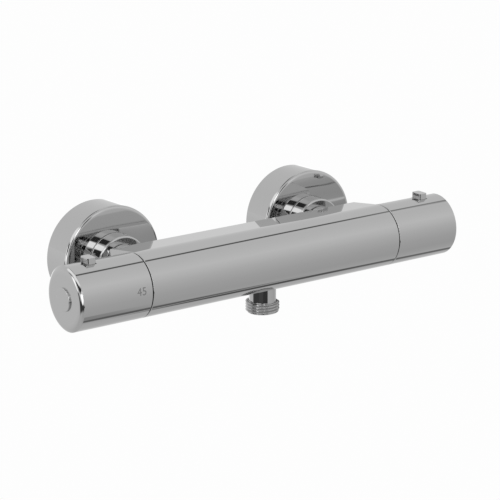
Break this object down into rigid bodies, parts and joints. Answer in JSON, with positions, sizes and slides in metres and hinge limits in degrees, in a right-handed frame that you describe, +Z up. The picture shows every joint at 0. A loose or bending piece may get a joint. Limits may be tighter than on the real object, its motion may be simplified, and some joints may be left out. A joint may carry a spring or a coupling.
{
  "type": "thermostatic shower valve",
  "caption": "Exposed chrome bar valve on wall unions, with a temperature handle and a flow handle on its ends and a threaded shower outlet underneath.",
  "frame": {"origin": "on the wall face, midway between the two half-inch wall tails, 150 mm apart", "axes": "+X to the right along the bar, +Y into the wall, +Z up"},
  "size_m": [0.285, 0.1127, 0.068],
  "materials": {
    "chrome": "polished",
    "chromed_plastic": "polished",
    "brass": "machined",
    "copper": "machined",
    "steel": "brushed",
    "spring_steel": "drawn wire",
    "white_plastic": "satin",
    "blue_plastic": "satin",
    "ceramic": "lapped",
    "rubber": "matt"
  },
  "bodies": {
    "valve_body": {"body": "chrome", "gallery_plug": "brass", "temperature_stop_ring": "white_plastic", "temperature_cartridge_nut": "brass", "temperature_cartridge_housing": "brass", "temperature_cartridge_rings": "rubber", "shuttle_return_spring": "spring_steel", "flow_stop_ring": "white_plastic", "flow_cartridge_nut": "brass", "flow_cartridge_housing": "brass", "flow_cartridge_rings": "rubber", "flow_thrust_washer": "white_plastic", "flow_fixed_disc": "ceramic", "flow_inlet_seal": "rubber", "outlet_nipple": "chrome", "outlet_ring": "rubber", "hot_wall_union": "chrome", "cold_wall_union": "chrome", "hot_wall_plate": "chrome", "cold_wall_plate": "chrome", "hot_plate_ring": "rubber", "cold_plate_ring": "rubber", "hot_union_nut": "chrome", "cold_union_nut": "chrome", "hot_union_washer": "rubber", "cold_union_washer": "rubber", "hot_strainer": "steel", "cold_strainer": "steel", "hot_inlet_tail": "brass", "cold_inlet_tail": "brass", "hot_check_housing": "white_plastic", "cold_check_housing": "white_plastic", "hot_check_spring": "spring_steel", "cold_check_spring": "spring_steel"},
    "temperature_knob": {"temperature_handle": "chrome", "temperature_handle_screw": "steel", "temperature_handle_cap": "chrome", "temperature_spindle": "brass", "temperature_spindle_ring": "rubber", "temperature_button_spring": "spring_steel"},
    "temperature_button": {"temperature_stop_button": "chromed_plastic"},
    "regulator": {"regulator_driver": "brass", "overload_spring": "spring_steel", "overload_spring_seat": "steel", "wax_element": "copper", "mixing_shuttle": "white_plastic"},
    "flow_knob": {"flow_handle": "chrome", "flow_handle_screw": "steel", "flow_handle_cap": "chrome", "flow_spindle": "brass", "flow_spindle_ring": "rubber", "flow_moving_disc": "ceramic", "flow_button_spring": "spring_steel"},
    "flow_button": {"flow_stop_button": "chromed_plastic"},
    "hot_check": {"hot_check_poppet": "blue_plastic"},
    "cold_check": {"cold_check_poppet": "blue_plastic"}
  },
  "joints": [
    {"name": "temperature_turn", "type": "hinge", "parent": "valve_body", "child": "temperature_knob", "pos_m": [-0.117, -0.075, 0.006], "axis": [1, 0, 0], "range_deg": [-110, 190]},
    {"name": "temperature_button_press", "type": "slide", "parent": "temperature_knob", "child": "temperature_button", "axis": [0, 0, -1], "range_m": [0, 0.0015], "stiffness_N_per_m": 400, "springref_m": -0.002, "deforming": ["temperature_button_spring"]},
    {"name": "regulator_slide", "type": "slide", "parent": "valve_body", "child": "regulator", "axis": [1, 0, 0], "range_m": [-0.0016, 0.00095], "deforming": ["shuttle_return_spring"]},
    {"name": "flow_turn", "type": "hinge", "parent": "valve_body", "child": "flow_knob", "pos_m": [0.117, -0.075, 0.006], "axis": [1, 0, 0], "range_deg": [-150, 0]},
    {"name": "flow_button_press", "type": "slide", "parent": "flow_knob", "child": "flow_button", "axis": [0, 0, -1], "range_m": [0, 0.0015], "stiffness_N_per_m": 400, "springref_m": -0.002, "deforming": ["flow_button_spring"]},
    {"name": "hot_check_lift", "type": "slide", "parent": "valve_body", "child": "hot_check", "axis": [0, -1, 0], "range_m": [0, 0.003], "stiffness_N_per_m": 60, "springref_m": -0.003, "deforming": ["hot_check_spring"]},
    {"name": "cold_check_lift", "type": "slide", "parent": "valve_body", "child": "cold_check", "axis": [0, -1, 0], "range_m": [0, 0.003], "stiffness_N_per_m": 60, "springref_m": -0.003, "deforming": ["cold_check_spring"]}
  ],
  "couplings": [
    {"joint": "regulator_slide", "follows": "temperature_turn", "m_per_rad": -0.0004775}
  ]
}
